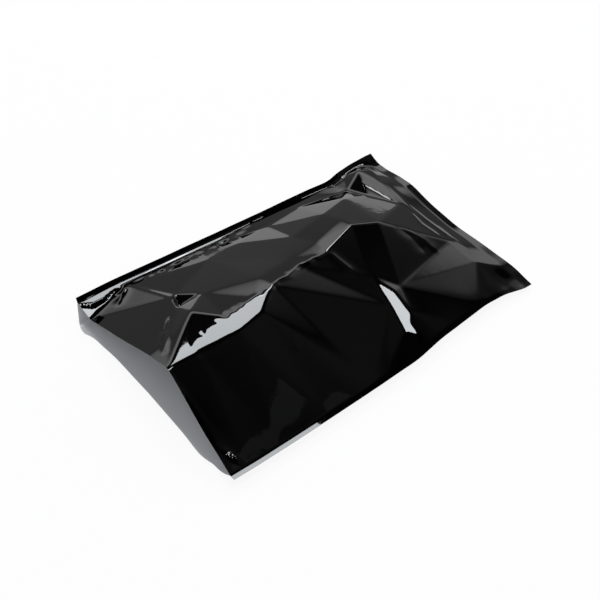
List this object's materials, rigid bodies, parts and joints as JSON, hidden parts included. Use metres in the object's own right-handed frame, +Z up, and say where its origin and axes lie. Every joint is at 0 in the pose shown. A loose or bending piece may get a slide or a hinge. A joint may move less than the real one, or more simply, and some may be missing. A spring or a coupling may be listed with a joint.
{
  "type": "poly mailer bag",
  "caption": "Flat heat-sealed film mailer pouch, glossy black outside and satin silver inside, puffed by air with its end mouth open.",
  "frame": {"origin": "middle of the bag's outline, on the surface that it lies on", "axes": "+X along the bag towards its sealed bottom end, the mouth at -X; +Y towards the rear side seal; +Z up"},
  "size_m": [0.344, 0.2333, 0.0578],
  "materials": {
    "film": "high-gloss black film outside, satin silver-grey inside"
  },
  "bodies": {
    "root": {"film_pouch": "film"}
  },
  "joints": []
}
